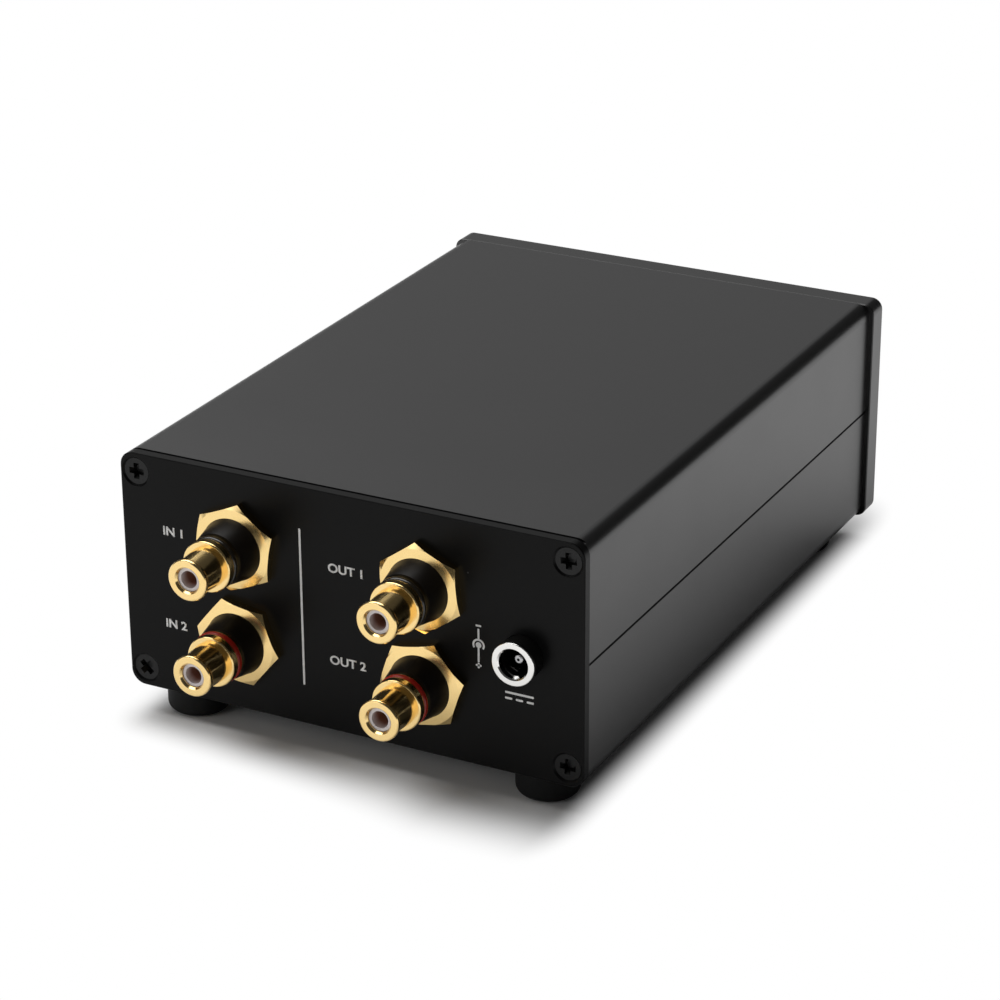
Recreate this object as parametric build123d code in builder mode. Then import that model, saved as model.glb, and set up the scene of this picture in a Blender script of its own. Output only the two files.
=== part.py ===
import os
from math import cos, radians, sin, tan
from build123d import *

os.makedirs("parts", exist_ok=True)

# Frame: front faces -Y, rear panel faces +Y, +Z up, origin under the middle of the whole object.
# Columns on the rear panel are counted to the right as seen from behind.

# Case, a split extrusion closed by two end panels
case_width = 100.0
case_height = 50.0
case_length = 138.3
case_wall = 2.0
case_corner_radius = 3.0
case_inner_radius = 1.0
seam_height = 25.2
seam_notch = 0.4
tongue_height = 2.0
tongue_thickness = 1.0
end_groove = 0.7

# Screw ports that run the length of the extrusion
port_side_inset = 3.5
port_edge_inset = 3.9
port_radius = 3.0

# Panels
rear_panel_thickness = 2.0
panel_edge_break = 0.2
front_panel_thickness = 5.3
front_panel_side_overhang = 1.1
front_panel_bottom_inset = 0.3
front_panel_corner_radius = 2.4
front_panel_edge_break = 0.3

# Panel screws, countersunk, size 3
screw_radius = 1.45
screw_length = 10.0
screw_head_radius = 2.7
countersink_margin = 0.4
recess_length = 3.3
recess_floor_length = 1.6
recess_width = 1.25
recess_depth = 1.5
screw_turns = (4, -3, 45, 0)
hex_key = 2.0
hex_key_depth = 1.2

# Feet
foot_height = 6.0
foot_radius = 6.3
foot_edge_radius = 1.8
foot_top_round = 0.4
foot_recess_radius = 3.4
foot_recess_depth = 3.0
foot_side_inset = 11.0
foot_end_inset = 7.3
foot_screw_head_radius = 2.75
foot_screw_head_height = 1.8
foot_screw_tip = 1.0

# Signal jacks, sizes along the axis counted out from the rear panel's face
jack_length = 18.0
input_column_share = -0.24
output_column_share = 0.165
jack_row_spacing = 20.0
lip_radius = 4.2
lip_length = 1.1
lip_front_round = 0.45
lip_back_round = 0.3
lip_inner_radius = 2.75
lip_inner_depth = 0.5
lip_inner_round = 0.15
barrel_front_radius = 3.7
barrel_back_radius = 4.15
collar_front = 11.2
collar_length = 1.9
collar_radius = 5.2
collar_round = 0.35
ring_length = 1.3
ring_radius = 5.3
ring_seat_radius = 4.4
ring_round = 0.4
flange_length = 0.6
flange_radius = 5.0
stem_radius = 3.4
insulator_radius = 2.35
insulator_recess = 0.8
insulator_tail = 1.2
pin_hole_radius = 1.75
contact_radius = 1.95
contact_bore_radius = 1.6
contact_cover = 5.0
contact_depth = 9.3
contact_floor = 1.2
contact_tail_radius = 1.0
contact_tail_length = 3.0
bush_thread_radius = 6.4
bush_mouth_radius = 5.4
bush_flange_radius = 8.0
bush_flange_thickness = 1.5
nut_across_flats = 16.0
nut_thickness = 2.2
nut_face_share = 1.02
nut_face_angle = 10
nut_chamfer_angle = 30
lug_radius = 5.0
lug_thickness = 0.6
lug_tab_width = 3.0
lug_tab_reach = 9.0
rear_nut_across_flats = 9.0
rear_nut_thickness = 2.4
stem_tip = 1.0
nut_turns = {"left_input": 22.7, "right_input": 50.7, "left_output": 35.8, "right_output": 12.0}

# Power inlet
inlet_edge_inset = 12.8
inlet_length = 4.0
inlet_barrel_radius = 4.25
inlet_ring_radius = 4.4
inlet_ring_length = 0.8
inlet_ring_round = 0.2
inlet_ring_bevel = 0.25
inlet_bore_radius = 3.0
inlet_sleeve_wall = 0.35
inlet_sleeve_depth = 1.6
inlet_bore_depth = 10.0
inlet_body_depth = 13.0
inlet_pin_radius = 1.0
inlet_pin_recess = 2.4
inlet_pin_tip = 0.45
inlet_pin_bore_radius = 0.3
inlet_pin_bore_depth = 3.0
inlet_spring_width = 1.8
inlet_spring_thickness = 0.3
inlet_spring_lift = 0.5
inlet_spring_share = 0.75
inlet_spring_turn = -25
inlet_nut_across_flats = 11.0
inlet_nut_thickness = 2.5
inlet_tail_length = 3.0

# Volume control
knob_radius = 15.0
knob_length = 16.0
knob_gap = 0.8
knob_chamfer = 1.2
knob_recess_radius = 9.5
knob_recess_depth = 6.5
knob_face_thickness = 3.0
pointer_width = 1.0
pointer_length = 7.0
pointer_depth = 0.5
grip_groove_inset = 3.7
grip_groove_width = 1.0
grip_groove_depth = 0.4
set_screw_radius = 1.5
set_screw_length = 8.0
set_screw_inset = 5.0
shaft_radius = 3.0
shaft_reach = 6.0
pot_bush_radius = 4.4
pot_bush_length = 9.2
pot_plate_size = 20.0
pot_plate_thickness = 1.5
pot_body_size = 21.0
pot_body_depth = 16.0
pot_body_round = 2.0
pot_nut_across_flats = 12.0
pot_nut_thickness = 2.0
pot_pin_width = 0.8
pot_pin_length = 1.35
pot_pin_spacing = 5.0
pot_pin_rows = 2
pot_pin_columns = 3

# Power button
switch_column_share = 0.72
switch_flange_radius = 7.0
switch_flange_thickness = 1.5
switch_barrel_radius = 5.9
switch_barrel_depth = 14.0
switch_bore_radius = 4.5
switch_bore_depth = 9.0
switch_body_depth = 6.0
switch_floor = 1.5
switch_nut_across_flats = 14.0
switch_nut_thickness = 2.5
button_radius = 4.2
button_stand = 2.6
button_length = 7.0
button_dish = 0.3
button_dish_share = 0.7
button_stem_radius = 1.5
button_stem_length = 11.0
switch_pin_width = 1.6
switch_pin_thickness = 0.5
switch_pin_length = 4.0
switch_pin_spacing = 4.0

# Power light
light_radius = 1.5
light_stand = 1.0
light_collar_radius = 2.0
light_collar_length = 1.0
light_tail = 2.0

# Circuit board and what stands on it
board_thickness = 1.6
board_front_gap = 3.0
board_rear_gap = 42.0
rib_reach = 2.0
rib_thickness = 1.2
capacitor_radius = 6.3
capacitor_height = 20.0
capacitor_round = 0.8
capacitor_groove_height = 2.0
capacitor_groove_depth = 0.5
capacitor_groove_width = 1.0
capacitor_shares = ((-0.34, 0.60), (-0.12, 0.60), (0.12, 0.60), (0.34, 0.60))
chip_length = 9.6
chip_width = 6.4
chip_height = 3.4
chip_stand = 0.6
chip_notch_radius = 0.8
chip_leg_width = 0.8
chip_leg_spacing = 2.54
chip_leg_columns = 4
chip_shares = ((-0.22, 0.80), (0.22, 0.80))
regulator_width = 10.0
regulator_depth = 4.4
regulator_height = 9.0
regulator_tab_thickness = 1.3
regulator_tab_height = 6.0
regulator_hole_radius = 1.8
regulator_leg_width = 0.9
regulator_leg_height = 3.5
regulator_leg_spacing = 2.54
regulator_share = (0.38, 0.82)
resistor_radius = 1.2
resistor_length = 6.4
resistor_lead_radius = 0.35
resistor_lead_span = 9.6
resistor_count = 6
resistor_pitch_share = 0.075
resistor_row_share = 0.42
connector_width = 12.0
connector_depth = 8.0
connector_height = 9.0
connector_bevel = 1.5
connector_screw_radius = 1.3
connector_screw_depth = 1.0
connector_pitch = 5.0
wire_radius = 0.8
wire_bend = 2.5
wire_lead_in = 6.0
wire_entry_share = 0.33

# Clearances and one overrun for cuts
fit_clearance = 0.05
hole_clearance = 0.1
seat_clearance = 0.1
slide_clearance = 0.3
overrun = 1.0
match_tolerance = 0.01

# Places that follow from the sizes
control_reach = knob_gap + knob_length
closed_length = front_panel_thickness + case_length + rear_panel_thickness
whole_length = control_reach + closed_length + jack_length
rear_face_y = whole_length / 2 - jack_length
case_rear_y = rear_face_y - rear_panel_thickness
case_front_y = case_rear_y - case_length
front_face_y = case_front_y - front_panel_thickness
case_bottom_z = foot_height
case_top_z = case_bottom_z + case_height
case_middle_z = case_bottom_z + case_height / 2
seam_z = case_bottom_z + seam_height
inner_width = case_width - 2 * case_wall
inner_height = case_height - 2 * case_wall
front_panel_bottom_z = case_bottom_z + front_panel_bottom_inset
front_panel_width = case_width + 2 * front_panel_side_overhang
front_panel_height = case_top_z - front_panel_bottom_z
control_z = (front_panel_bottom_z + case_top_z) / 2
port_x = case_width / 2 - port_side_inset
port_top_z = case_top_z - port_edge_inset
port_bottom_z = case_bottom_z + port_edge_inset
port_hole_radius = screw_radius + fit_clearance
pot_bottom_z = control_z - pot_body_size / 2
board_top_z = pot_bottom_z - pot_pin_length
board_bottom_z = board_top_z - board_thickness
board_width = inner_width - 2 * seat_clearance
board_front_y = case_front_y + board_front_gap
board_rear_y = case_rear_y - board_rear_gap
board_length = board_rear_y - board_front_y
switch_x = -switch_column_share * case_width / 2
light_x = switch_column_share * case_width / 2

input_column = input_column_share * case_width
output_column = output_column_share * case_width
inlet_column = case_width / 2 - inlet_edge_inset

rear_plane = Plane(origin=(0, rear_face_y, 0), x_dir=(-1, 0, 0), z_dir=(0, 1, 0))
front_plane = Plane.XZ.offset(-front_face_y)
jack_rows = {"left": case_middle_z + jack_row_spacing / 2, "right": case_middle_z - jack_row_spacing / 2}
jack_places = {
    "left_input": (input_column, jack_rows["left"]),
    "right_input": (input_column, jack_rows["right"]),
    "left_output": (output_column, jack_rows["left"]),
    "right_output": (output_column, jack_rows["right"]),
}


def save(part, name):
    part.label = name
    export_step(part, f"parts/{name}.step")


def across_plane(y):
    # Plane across the case: local x is X, local y is Z, and it faces the front
    return Plane.XZ.offset(-y)


def turning_plane(column, height):
    # Half plane through an axis square to the rear panel: local x is radius, local y is distance outwards
    return Plane(origin=(-column, rear_face_y, height), x_dir=(0, 0, 1), z_dir=(-1, 0, 0))


def turning_axis(column, height):
    return Axis((-column, rear_face_y, height), (0, 1, 0))


def control_plane(x):
    # Half plane through a control's axis: local x is radius, local y is depth behind the front face
    return Plane(origin=(x, front_face_y, control_z), x_dir=(0, 0, 1), z_dir=(-1, 0, 0))


def control_axis(x):
    return Axis((x, front_face_y, control_z), (0, 1, 0))


def round_edges(part, radius):
    circles = part.edges().filter_by(GeomType.CIRCLE)
    return circles.filter_by(lambda edge: abs(edge.radius - radius) < match_tolerance)


# Case halves
with BuildPart() as top_shell:
    with BuildSketch(across_plane(case_rear_y)):
        with Locations((0, case_middle_z)):
            RectangleRounded(case_width, case_height, case_corner_radius)
            RectangleRounded(inner_width, inner_height, case_inner_radius, mode=Mode.SUBTRACT)
        with Locations((-port_x, port_top_z), (port_x, port_top_z)):
            Circle(port_radius)
            Circle(port_hole_radius, mode=Mode.SUBTRACT)
        with Locations((0, seam_z)):
            Rectangle(
                case_width + overrun, case_height, align=(Align.CENTER, Align.MAX), mode=Mode.SUBTRACT
            )
            Rectangle(
                inner_width + 2 * (tongue_thickness + seat_clearance),
                tongue_height + seat_clearance,
                align=(Align.CENTER, Align.MIN),
                mode=Mode.SUBTRACT,
            )
        with Locations((-case_width / 2, seam_z), (case_width / 2, seam_z)):
            Rectangle(seam_notch, seam_notch, rotation=45, mode=Mode.SUBTRACT)
    extrude(amount=case_length)
    with BuildSketch(across_plane(case_rear_y)):
        with Locations((0, case_top_z)):
            Rectangle(case_width, 2 * end_groove)
    extrude(amount=end_groove, mode=Mode.SUBTRACT)
save(top_shell.part, "top_shell")

foot_x = case_width / 2 - foot_side_inset
foot_ys = {"front": case_front_y + foot_end_inset, "rear": rear_face_y - foot_end_inset}
foot_sides = {"left": -foot_x, "right": foot_x}
foot_places = {f"{end}_{side}": (x, y) for end, y in foot_ys.items() for side, x in foot_sides.items()}

with BuildPart() as bottom_shell:
    with BuildSketch(across_plane(case_rear_y)):
        with Locations((0, case_middle_z)):
            RectangleRounded(case_width, case_height, case_corner_radius)
        with Locations((0, seam_z)):
            Rectangle(
                case_width + overrun, case_height, align=(Align.CENTER, Align.MIN), mode=Mode.SUBTRACT
            )
            Rectangle(
                inner_width + 2 * tongue_thickness, tongue_height, align=(Align.CENTER, Align.MIN)
            )
        with Locations((0, case_middle_z)):
            RectangleRounded(inner_width, inner_height, case_inner_radius, mode=Mode.SUBTRACT)
        rib_x = inner_width / 2 - rib_reach / 2
        with Locations((-rib_x, board_bottom_z - seat_clearance), (rib_x, board_bottom_z - seat_clearance)):
            Rectangle(rib_reach, rib_thickness, align=(Align.CENTER, Align.MAX))
        with Locations((-rib_x, board_top_z + seat_clearance), (rib_x, board_top_z + seat_clearance)):
            Rectangle(rib_reach, rib_thickness, align=(Align.CENTER, Align.MIN))
        with Locations((-port_x, port_bottom_z), (port_x, port_bottom_z)):
            Circle(port_radius)
            Circle(port_hole_radius, mode=Mode.SUBTRACT)
        with Locations((-case_width / 2, seam_z), (case_width / 2, seam_z)):
            Rectangle(seam_notch, seam_notch, rotation=45, mode=Mode.SUBTRACT)
    extrude(amount=case_length)
    with BuildSketch(Plane.XY.offset(case_bottom_z)):
        with Locations(*foot_places.values()):
            Circle(port_hole_radius)
    extrude(amount=case_wall, mode=Mode.SUBTRACT)
save(bottom_shell.part, "bottom_shell")

# Rear panel with holes for four jacks, the inlet and four countersunk screws
screw_places = [(x, z) for x in (-port_x, port_x) for z in (port_bottom_z, port_top_z)]
countersink_radius = screw_head_radius + countersink_margin
with BuildPart() as rear_panel:
    with BuildSketch(rear_plane):
        with Locations((0, case_middle_z)):
            RectangleRounded(case_width, case_height, case_corner_radius)
    extrude(amount=-rear_panel_thickness)
    chamfer(rear_panel.faces().sort_by(Axis.Y)[-1].outer_wire().edges(), panel_edge_break)
    with BuildSketch(rear_plane):
        with Locations(*jack_places.values()):
            Circle(bush_thread_radius + hole_clearance)
        with Locations((inlet_column, case_middle_z)):
            Circle(inlet_barrel_radius + hole_clearance)
    extrude(amount=-rear_panel_thickness, mode=Mode.SUBTRACT)
    with Locations(rear_plane):
        with Locations(*screw_places):
            CounterSinkHole(screw_radius + hole_clearance, countersink_radius, rear_panel_thickness, 90)
save(rear_panel.part, "rear_panel")

# Front panel with the control holes and four countersunk screws
with BuildPart() as front_panel:
    with BuildSketch(front_plane):
        with Locations((0, control_z)):
            RectangleRounded(front_panel_width, front_panel_height, front_panel_corner_radius)
    extrude(amount=-front_panel_thickness)
    chamfer(front_panel.faces().sort_by(Axis.Y)[0].outer_wire().edges(), front_panel_edge_break)
    chamfer(front_panel.faces().sort_by(Axis.Y)[-1].outer_wire().edges(), panel_edge_break)
    with BuildSketch(front_plane):
        with Locations((0, control_z)):
            Circle(pot_bush_radius + hole_clearance)
        with Locations((switch_x, control_z)):
            Circle(switch_barrel_radius + hole_clearance)
        with Locations((light_x, control_z)):
            Circle(light_radius + fit_clearance)
    extrude(amount=-front_panel_thickness, mode=Mode.SUBTRACT)
    with Locations(front_plane):
        with Locations(*screw_places):
            CounterSinkHole(screw_radius + hole_clearance, countersink_radius, front_panel_thickness, 90)
save(front_panel.part, "front_panel")

# Panel screws: a cross recess at the rear, a key socket at the front
screw_head_height = screw_head_radius - screw_radius
screw_sink = countersink_margin - fit_clearance
with BuildPart(rear_plane.offset(-screw_sink)) as rear_panel_screws:
    with Locations(*screw_places):
        Cylinder(screw_radius, screw_length, align=(Align.CENTER, Align.CENTER, Align.MAX))
        Cone(
            screw_radius,
            screw_head_radius,
            screw_head_height,
            align=(Align.CENTER, Align.CENTER, Align.MAX),
        )
    for (place_x, place_z), screw_turn in zip(screw_places, screw_turns):
        slot_origin = (place_x, rear_face_y - screw_sink, place_z)
        for slot_angle in (radians(screw_turn), radians(screw_turn + 90)):
            slot_along = (cos(slot_angle), 0, sin(slot_angle))
            slot_across = (-sin(slot_angle), 0, cos(slot_angle))
            with BuildSketch(Plane(origin=slot_origin, x_dir=slot_along, z_dir=slot_across)):
                with BuildLine():
                    Polyline(
                        (-recess_length / 2, 0),
                        (recess_length / 2, 0),
                        (recess_floor_length / 2, -recess_depth),
                        (-recess_floor_length / 2, -recess_depth),
                        close=True,
                    )
                make_face()
            extrude(amount=recess_width / 2, both=True, mode=Mode.SUBTRACT)
save(rear_panel_screws.part, "rear_panel_screws")

with BuildPart(front_plane.offset(-screw_sink)) as front_panel_screws:
    with Locations(*screw_places):
        Cylinder(
            screw_radius,
            screw_length + front_panel_thickness,
            align=(Align.CENTER, Align.CENTER, Align.MAX),
        )
        Cone(
            screw_radius,
            screw_head_radius,
            screw_head_height,
            align=(Align.CENTER, Align.CENTER, Align.MAX),
        )
    with BuildSketch(front_plane.offset(-screw_sink)):
        with Locations(*screw_places):
            RegularPolygon(hex_key / 2, 6, major_radius=False)
    extrude(amount=-hex_key_depth, mode=Mode.SUBTRACT)
save(front_panel_screws.part, "front_panel_screws")

# Rubber feet, each held by a screw in a recess
for foot_name, (foot_place_x, foot_place_y) in foot_places.items():
    with BuildPart() as foot:
        with BuildSketch():
            with Locations((foot_place_x, foot_place_y)):
                Circle(foot_radius)
        extrude(amount=foot_height)
        fillet(foot.edges().group_by(Axis.Z)[0], foot_edge_radius)
        fillet(foot.edges().group_by(Axis.Z)[-1], foot_top_round)
        with BuildSketch():
            with Locations((foot_place_x, foot_place_y)):
                Circle(foot_recess_radius)
        extrude(amount=foot_recess_depth, mode=Mode.SUBTRACT)
        with BuildSketch():
            with Locations((foot_place_x, foot_place_y)):
                Circle(screw_radius + hole_clearance)
        extrude(amount=foot_height, mode=Mode.SUBTRACT)
    save(foot.part, f"{foot_name}_foot")

with BuildPart(Plane.XY.offset(foot_recess_depth)) as foot_screws:
    with Locations(*foot_places.values()):
        Cylinder(
            screw_radius,
            foot_height - foot_recess_depth + case_wall + foot_screw_tip,
            align=(Align.CENTER, Align.CENTER, Align.MIN),
        )
        Cylinder(
            foot_screw_head_radius,
            foot_screw_head_height,
            align=(Align.CENTER, Align.CENTER, Align.MAX),
        )
    with Locations(*[(x, y, -foot_screw_head_height) for x, y in foot_places.values()]):
        Box(recess_length, recess_width, recess_depth, mode=Mode.SUBTRACT)
        Box(recess_width, recess_length, recess_depth, mode=Mode.SUBTRACT)
save(foot_screws.part, "foot_screws")

# Signal jacks: places along the axis
ring_front = collar_front - collar_length
ring_back = ring_front - ring_length
bush_front = ring_back - flange_length
lip_back = jack_length - lip_length
panel_back = -rear_panel_thickness
bush_back = panel_back - bush_flange_thickness
lug_back = bush_back - lug_thickness
rear_nut_back = lug_back - rear_nut_thickness
stem_back = rear_nut_back - stem_tip
insulator_front = jack_length - insulator_recess
insulator_back = stem_back - insulator_tail
contact_front = insulator_front - contact_cover
contact_bore_back = insulator_front - contact_depth
contact_back = contact_bore_back - contact_floor
contact_tail_back = insulator_back - contact_tail_length
shell_bore = insulator_radius + fit_clearance
nut_corner = nut_across_flats / 2 / cos(radians(30)) + overrun
nut_face_radius = nut_across_flats / 2 * nut_face_share
nut_face_drop = (nut_face_radius - bush_thread_radius) * tan(radians(nut_face_angle))
nut_drop = nut_face_drop + (nut_corner - nut_face_radius) * tan(radians(nut_chamfer_angle))

for jack_name, (column, height) in jack_places.items():
    jack_plane = turning_plane(column, height)
    jack_axis = turning_axis(column, height)

    with BuildPart() as jack_shell:
        with BuildSketch(jack_plane):
            with BuildLine():
                Polyline(
                    (shell_bore, stem_back),
                    (stem_radius, stem_back),
                    (stem_radius, bush_front),
                    (flange_radius, bush_front),
                    (flange_radius, ring_back),
                    (ring_seat_radius, ring_back),
                    (ring_seat_radius, ring_front),
                    (collar_radius, ring_front),
                    (collar_radius, collar_front),
                    (barrel_back_radius, collar_front),
                    (barrel_front_radius, lip_back),
                    (lip_radius, lip_back),
                    (lip_radius, jack_length),
                    (lip_inner_radius, jack_length),
                    (shell_bore, jack_length - lip_inner_depth),
                    close=True,
                )
            make_face()
        revolve(axis=jack_axis)
        fillet(round_edges(jack_shell, lip_radius).sort_by(Axis.Y)[-1], lip_front_round)
        fillet(round_edges(jack_shell, lip_radius).sort_by(Axis.Y)[0], lip_back_round)
        fillet(round_edges(jack_shell, lip_inner_radius), lip_inner_round)
        fillet(round_edges(jack_shell, collar_radius), collar_round)
    save(jack_shell.part, f"{jack_name}_shell")

    with BuildPart() as jack_nut:
        with BuildSketch(rear_plane):
            with Locations((column, height)):
                RegularPolygon(nut_across_flats / 2, 6, major_radius=False, rotation=nut_turns[jack_name])
                Circle(bush_thread_radius + fit_clearance, mode=Mode.SUBTRACT)
        extrude(amount=nut_thickness)
        with BuildSketch(jack_plane):
            with BuildLine():
                Polyline(
                    (bush_thread_radius, nut_thickness),
                    (nut_corner, nut_thickness),
                    (nut_corner, nut_thickness - nut_drop),
                    (nut_face_radius, nut_thickness - nut_face_drop),
                    close=True,
                )
            make_face()
        revolve(axis=jack_axis, mode=Mode.SUBTRACT)
    save(jack_nut.part, f"{jack_name}_nut")

    with BuildPart() as jack_bush:
        with BuildSketch(jack_plane):
            with BuildLine():
                Polyline(
                    (stem_radius + fit_clearance, bush_back),
                    (bush_flange_radius, bush_back),
                    (bush_flange_radius, panel_back),
                    (bush_thread_radius, panel_back),
                    (bush_thread_radius, nut_thickness),
                    (bush_mouth_radius, bush_front),
                    (stem_radius + fit_clearance, bush_front),
                    close=True,
                )
            make_face()
        revolve(axis=jack_axis)
    save(jack_bush.part, f"{jack_name}_bush")

    with BuildPart() as jack_ring:
        with BuildSketch(jack_plane):
            with BuildLine():
                Polyline(
                    (ring_seat_radius + fit_clearance, ring_back + fit_clearance),
                    (ring_radius, ring_back + fit_clearance),
                    (ring_radius, ring_front - fit_clearance),
                    (ring_seat_radius + fit_clearance, ring_front - fit_clearance),
                    close=True,
                )
            make_face()
        revolve(axis=jack_axis)
        fillet(round_edges(jack_ring, ring_radius), ring_round)
    save(jack_ring.part, f"{jack_name}_ring")

    with BuildPart() as jack_insulator:
        with BuildSketch(jack_plane):
            with BuildLine():
                Polyline(
                    (contact_tail_radius + fit_clearance, insulator_back),
                    (insulator_radius, insulator_back),
                    (insulator_radius, insulator_front),
                    (pin_hole_radius, insulator_front),
                    (pin_hole_radius, contact_front + fit_clearance),
                    (contact_radius + fit_clearance, contact_front + fit_clearance),
                    (contact_radius + fit_clearance, contact_back),
                    (contact_tail_radius + fit_clearance, contact_back),
                    close=True,
                )
            make_face()
        revolve(axis=jack_axis)
    save(jack_insulator.part, f"{jack_name}_insulator")

with BuildPart() as jack_contacts:
    for column, height in jack_places.values():
        with BuildSketch(turning_plane(column, height)):
            with BuildLine():
                Polyline(
                    (0, contact_tail_back),
                    (contact_tail_radius, contact_tail_back),
                    (contact_tail_radius, contact_back),
                    (contact_radius, contact_back),
                    (contact_radius, contact_front),
                    (contact_bore_radius, contact_front),
                    (contact_bore_radius, contact_bore_back),
                    (0, contact_bore_back),
                    close=True,
                )
            make_face()
        revolve(axis=turning_axis(column, height))
save(jack_contacts.part, "jack_contacts")

# Each lug's tab points to the middle of the panel
with BuildPart() as jack_solder_lugs:
    for column, height in jack_places.values():
        tab_side = Align.MAX if height > case_middle_z else Align.MIN
        with BuildSketch(rear_plane.offset(bush_back)):
            with Locations((column, height)):
                Circle(lug_radius)
                Rectangle(lug_tab_width, lug_tab_reach, align=(Align.CENTER, tab_side))
                Circle(stem_radius + fit_clearance, mode=Mode.SUBTRACT)
        extrude(amount=-lug_thickness)
save(jack_solder_lugs.part, "jack_solder_lugs")

with BuildPart() as jack_rear_nuts:
    with BuildSketch(rear_plane.offset(lug_back)):
        with Locations(*jack_places.values()):
            RegularPolygon(rear_nut_across_flats / 2, 6, major_radius=False)
        with Locations(*jack_places.values()):
            Circle(stem_radius + fit_clearance, mode=Mode.SUBTRACT)
    extrude(amount=-rear_nut_thickness)
save(jack_rear_nuts.part, "jack_rear_nuts")

# Power inlet
inlet_plane = turning_plane(inlet_column, case_middle_z)
inlet_axis = turning_axis(inlet_column, case_middle_z)
inlet_ring_back = inlet_length - inlet_ring_length
inlet_sleeve_radius = inlet_bore_radius + inlet_sleeve_wall
inlet_sleeve_back = inlet_length - inlet_sleeve_depth
inlet_bore_back = inlet_length - inlet_bore_depth
inlet_back = panel_back - inlet_body_depth

with BuildPart() as dc_socket_body:
    with BuildSketch(inlet_plane):
        with BuildLine():
            Polyline(
                (inlet_pin_radius + fit_clearance, inlet_back),
                (inlet_barrel_radius, inlet_back),
                (inlet_barrel_radius, inlet_ring_back),
                (inlet_sleeve_radius + fit_clearance, inlet_ring_back),
                (inlet_sleeve_radius + fit_clearance, inlet_sleeve_back),
                (inlet_bore_radius, inlet_sleeve_back),
                (inlet_bore_radius, inlet_bore_back),
                (inlet_pin_radius + fit_clearance, inlet_bore_back),
                close=True,
            )
        make_face()
    revolve(axis=inlet_axis)
save(dc_socket_body.part, "dc_socket_body")

with BuildPart() as dc_socket_ring:
    with BuildSketch(inlet_plane):
        with BuildLine():
            Polyline(
                (inlet_bore_radius, inlet_sleeve_back),
                (inlet_sleeve_radius, inlet_sleeve_back),
                (inlet_sleeve_radius, inlet_ring_back),
                (inlet_ring_radius, inlet_ring_back),
                (inlet_ring_radius, inlet_length),
                (inlet_bore_radius, inlet_length),
                close=True,
            )
        make_face()
    revolve(axis=inlet_axis)
    chamfer(round_edges(dc_socket_ring, inlet_bore_radius).sort_by(Axis.Y)[-1], inlet_ring_bevel)
    fillet(round_edges(dc_socket_ring, inlet_ring_radius).sort_by(Axis.Y)[-1], inlet_ring_round)
save(dc_socket_ring.part, "dc_socket_ring")

with BuildPart() as dc_socket_pin:
    with BuildSketch(rear_plane.offset(inlet_back - inlet_tail_length)):
        with Locations((inlet_column, case_middle_z)):
            Circle(inlet_pin_radius)
    extrude(amount=inlet_length - inlet_pin_recess - inlet_back + inlet_tail_length)
    fillet(dc_socket_pin.edges().group_by(Axis.Y)[-1], inlet_pin_tip)
    with BuildSketch(rear_plane.offset(inlet_length - inlet_pin_recess)):
        with Locations((inlet_column, case_middle_z)):
            Circle(inlet_pin_bore_radius)
    extrude(amount=-inlet_pin_bore_depth, mode=Mode.SUBTRACT)
save(dc_socket_pin.part, "dc_socket_pin")

with BuildPart() as dc_socket_spring:
    with BuildSketch(rear_plane.offset(inlet_bore_back)):
        with Locations(Location((inlet_column, case_middle_z, 0), (0, 0, inlet_spring_turn))):
            with Locations((0, inlet_spring_lift - inlet_bore_radius)):
                Rectangle(inlet_spring_width, inlet_spring_thickness, align=(Align.CENTER, Align.MIN))
    extrude(amount=inlet_bore_depth * inlet_spring_share)
save(dc_socket_spring.part, "dc_socket_spring")

with BuildPart() as dc_socket_nut:
    with BuildSketch(rear_plane.offset(panel_back)):
        with Locations((inlet_column, case_middle_z)):
            RegularPolygon(inlet_nut_across_flats / 2, 6, major_radius=False)
            Circle(inlet_barrel_radius + fit_clearance, mode=Mode.SUBTRACT)
    extrude(amount=-inlet_nut_thickness)
save(dc_socket_nut.part, "dc_socket_nut")

# Volume control, depths counted inwards from the front face
knob_back = -knob_gap
knob_front = knob_back - knob_length
shaft_front = knob_front + knob_face_thickness
pot_bush_front = front_panel_thickness - pot_bush_length
pot_plate_back = front_panel_thickness + pot_plate_thickness
shaft_bore = shaft_radius + fit_clearance

with BuildPart() as volume_knob:
    with BuildSketch(control_plane(0)):
        with BuildLine():
            Polyline(
                (0, knob_front),
                (knob_radius, knob_front),
                (knob_radius, knob_back),
                (knob_recess_radius, knob_back),
                (knob_recess_radius, knob_back - knob_recess_depth),
                (shaft_bore, knob_back - knob_recess_depth),
                (shaft_bore, shaft_front),
                (0, shaft_front),
                close=True,
            )
        make_face()
    revolve(axis=control_axis(0))
    chamfer(volume_knob.edges().group_by(Axis.Y)[0], knob_chamfer)
    with BuildSketch(control_plane(0)):
        with Locations((knob_radius, knob_front + grip_groove_inset)):
            Rectangle(2 * grip_groove_depth, grip_groove_width)
    revolve(axis=control_axis(0), mode=Mode.SUBTRACT)
    with BuildSketch(front_plane.offset(-knob_front)):
        with Locations((0, control_z + knob_radius - knob_chamfer)):
            Rectangle(pointer_width, pointer_length, align=(Align.CENTER, Align.MAX))
    extrude(amount=-pointer_depth, mode=Mode.SUBTRACT)
    set_screw_y = front_face_y + knob_back - knob_recess_depth - (set_screw_inset - set_screw_radius)
    with BuildSketch(Plane(origin=(0, set_screw_y, control_z), x_dir=(1, 0, 0), z_dir=(0, 0, -1))):
        Circle(set_screw_radius + fit_clearance)
    extrude(amount=knob_radius + overrun, mode=Mode.SUBTRACT)
save(volume_knob.part, "volume_knob")

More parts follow.
